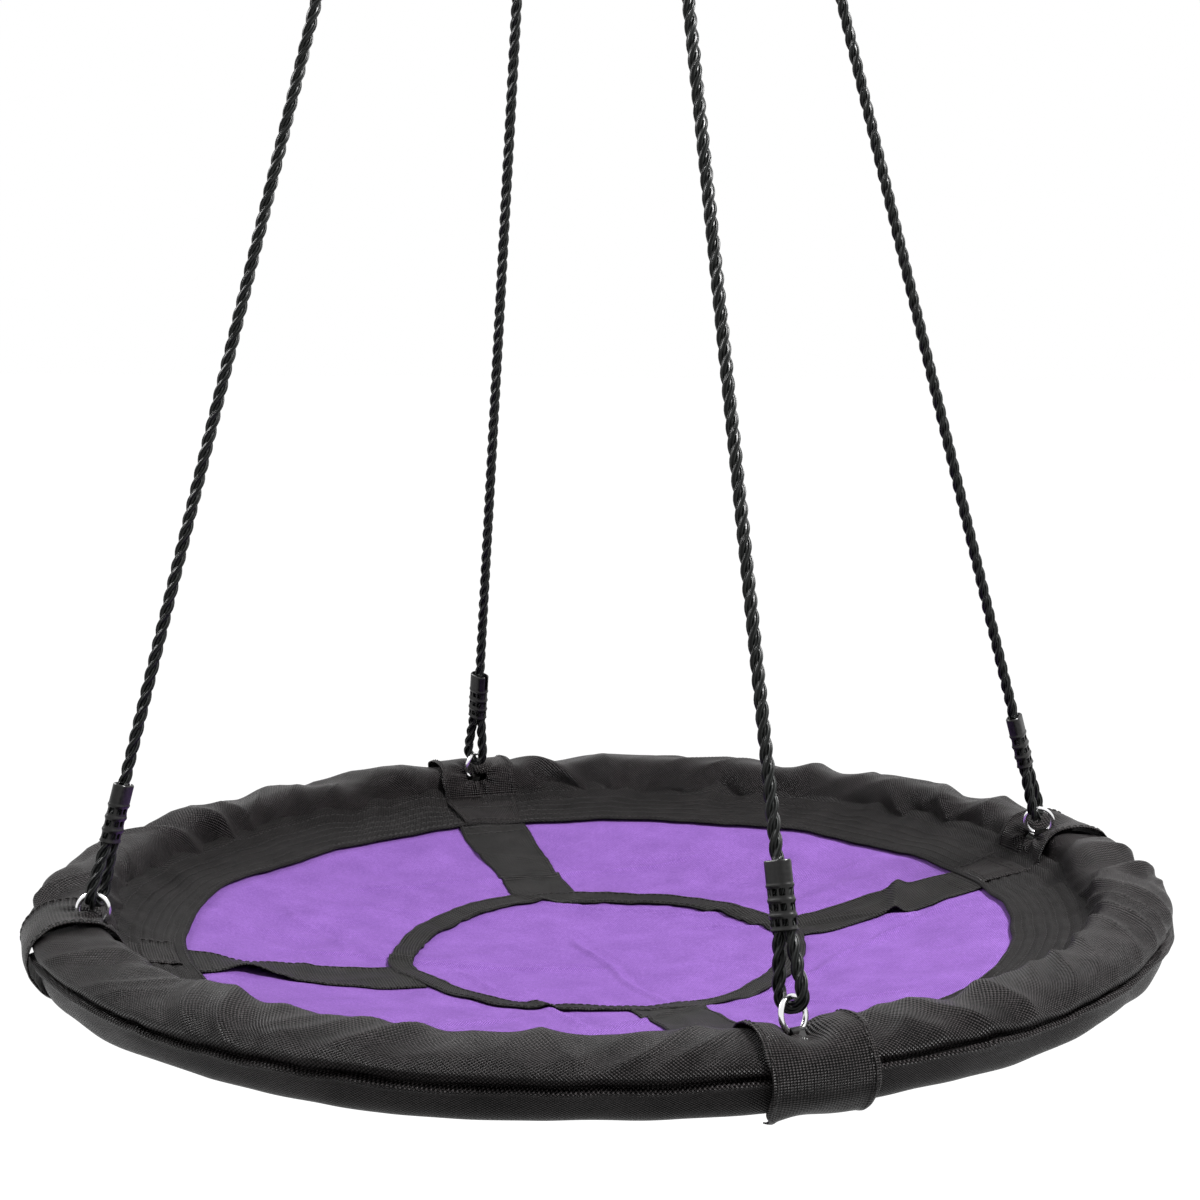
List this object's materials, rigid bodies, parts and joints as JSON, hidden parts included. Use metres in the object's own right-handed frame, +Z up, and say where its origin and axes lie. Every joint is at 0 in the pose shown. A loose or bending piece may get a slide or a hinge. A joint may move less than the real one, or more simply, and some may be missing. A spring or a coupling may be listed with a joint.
{
  "type": "nest swing",
  "caption": "Round nest swing: padded tube rim with a sewn fabric seat, hung on twisted ropes with moulded clamps from a triangular link and a carabiner.",
  "frame": {"origin": "centre of the carabiner's top bow, where the swing hangs from a hook or eye", "axes": "+Z is up. The hanging link's bar lies along X. The carabiner lies in the YZ plane with its gate on +Y. The ropes reach the seat at 45, 135, 225 and 315 degrees."},
  "size_m": [0.9998, 0.9998, 1.7102],
  "materials": {
    "zinc_steel": "bright zinc",
    "ring_steel": "bright",
    "tube_steel": "galvanised",
    "rope": "twisted, slightly glossy",
    "clamp_plastic": "moulded satin",
    "black_cloth": "coarse woven",
    "purple_cloth": "coarse woven",
    "webbing": "ribbed webbing",
    "foam": "closed-cell foam"
  },
  "bodies": {
    "carabiner": {"carabiner_body": "zinc_steel", "gate_pin": "zinc_steel"},
    "gate": {"carabiner_gate": "zinc_steel", "gate_spring": "zinc_steel"},
    "link": {"hanging_link": "zinc_steel"},
    "seat": {"seat_ring_1": "ring_steel", "seat_ring_2": "ring_steel", "seat_ring_3": "ring_steel", "seat_ring_4": "ring_steel", "frame_tube_1": "tube_steel", "frame_tube_2": "tube_steel", "frame_tube_3": "tube_steel", "frame_tube_4": "tube_steel", "joint_pins": "tube_steel", "rope_1": "rope", "rope_2": "rope", "rope_3": "rope", "rope_4": "rope", "top_loop_1": "rope", "top_loop_2": "rope", "top_loop_3": "rope", "top_loop_4": "rope", "low_loop_1": "rope", "low_loop_2": "rope", "low_loop_3": "rope", "low_loop_4": "rope", "top_clamp_1": "clamp_plastic", "top_clamp_2": "clamp_plastic", "top_clamp_3": "clamp_plastic", "top_clamp_4": "clamp_plastic", "low_clamp_1": "clamp_plastic", "low_clamp_2": "clamp_plastic", "low_clamp_3": "clamp_plastic", "low_clamp_4": "clamp_plastic", "rim_cover_1": "black_cloth", "rim_cover_2": "black_cloth", "rim_cover_3": "black_cloth", "rim_cover_4": "black_cloth", "wrap_patch_1": "black_cloth", "wrap_patch_2": "black_cloth", "wrap_patch_3": "black_cloth", "wrap_patch_4": "black_cloth", "mat_skirt": "black_cloth", "seat_mat": "purple_cloth", "anchor_strap_1": "webbing", "anchor_strap_2": "webbing", "anchor_strap_3": "webbing", "anchor_strap_4": "webbing", "radial_strap_1": "webbing", "radial_strap_2": "webbing", "radial_strap_3": "webbing", "radial_strap_4": "webbing", "centre_band": "webbing", "foam_sleeve_1": "foam", "foam_sleeve_2": "foam", "foam_sleeve_3": "foam", "foam_sleeve_4": "foam"}
  },
  "joints": [
    {"name": "gate_opens", "type": "hinge", "parent": "carabiner", "child": "gate", "pos_m": [0, 0.0159, -0.04322], "axis": [1, 0, 0], "range_deg": [0, 22], "stiffness_Nm_per_rad": 0.06, "springref_deg": -20.05},
    {"name": "swing_sideways", "type": "hinge", "parent": "carabiner", "child": "link", "pos_m": [0, 0, -0.061], "axis": [0, 1, 0], "range_deg": [-40, 40]},
    {"name": "swing_to_and_fro", "type": "hinge", "parent": "link", "child": "seat", "pos_m": [0, 0, -0.0987], "axis": [1, 0, 0], "range_deg": [-50, 50]}
  ]
}
